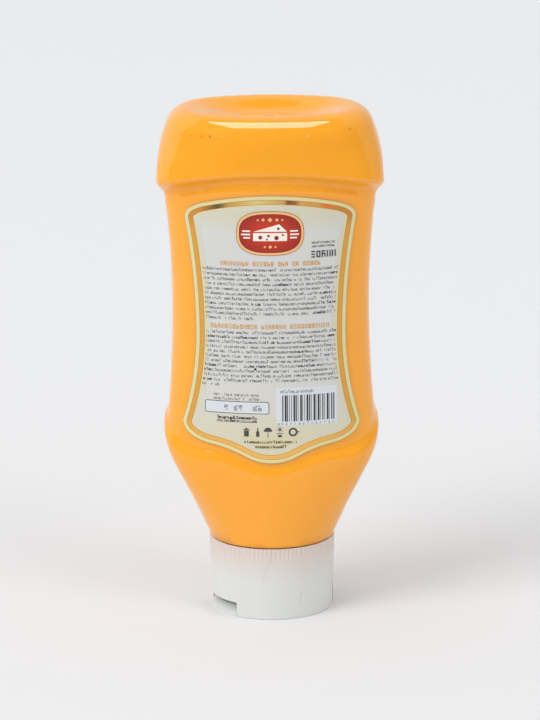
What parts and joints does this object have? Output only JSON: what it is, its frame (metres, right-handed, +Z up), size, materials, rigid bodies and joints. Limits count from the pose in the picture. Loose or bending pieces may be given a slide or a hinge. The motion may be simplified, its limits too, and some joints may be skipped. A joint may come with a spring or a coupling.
{
  "type": "cheese sauce bottle",
  "caption": "Clear squeeze bottle filled with orange-yellow cheese sauce, standing upside down on a ribbed white flip-top cap, with a shaped paper-thin label on its recessed waist.",
  "frame": {"origin": "middle of the foot of the cap, on the surface it stands on", "axes": "+Z up, from the cap to the dished base; -Y towards the label; +X to the right of the label"},
  "size_m": [0.0862, 0.056, 0.1963],
  "materials": {
    "clear_pet": "clear blow-moulded PET, smooth and glossy",
    "cheese_sauce": "thick orange-yellow emulsion, smooth and slightly translucent",
    "white_polypropylene": "injection-moulded white polypropylene, satin",
    "printed_film": "printed plastic film with a pale border, a gold line and fields of colour"
  },
  "bodies": {
    "root": {"bottle": "clear_pet", "sauce": "cheese_sauce", "cap": "white_polypropylene", "lid": "white_polypropylene", "label": "printed_film"}
  },
  "joints": []
}
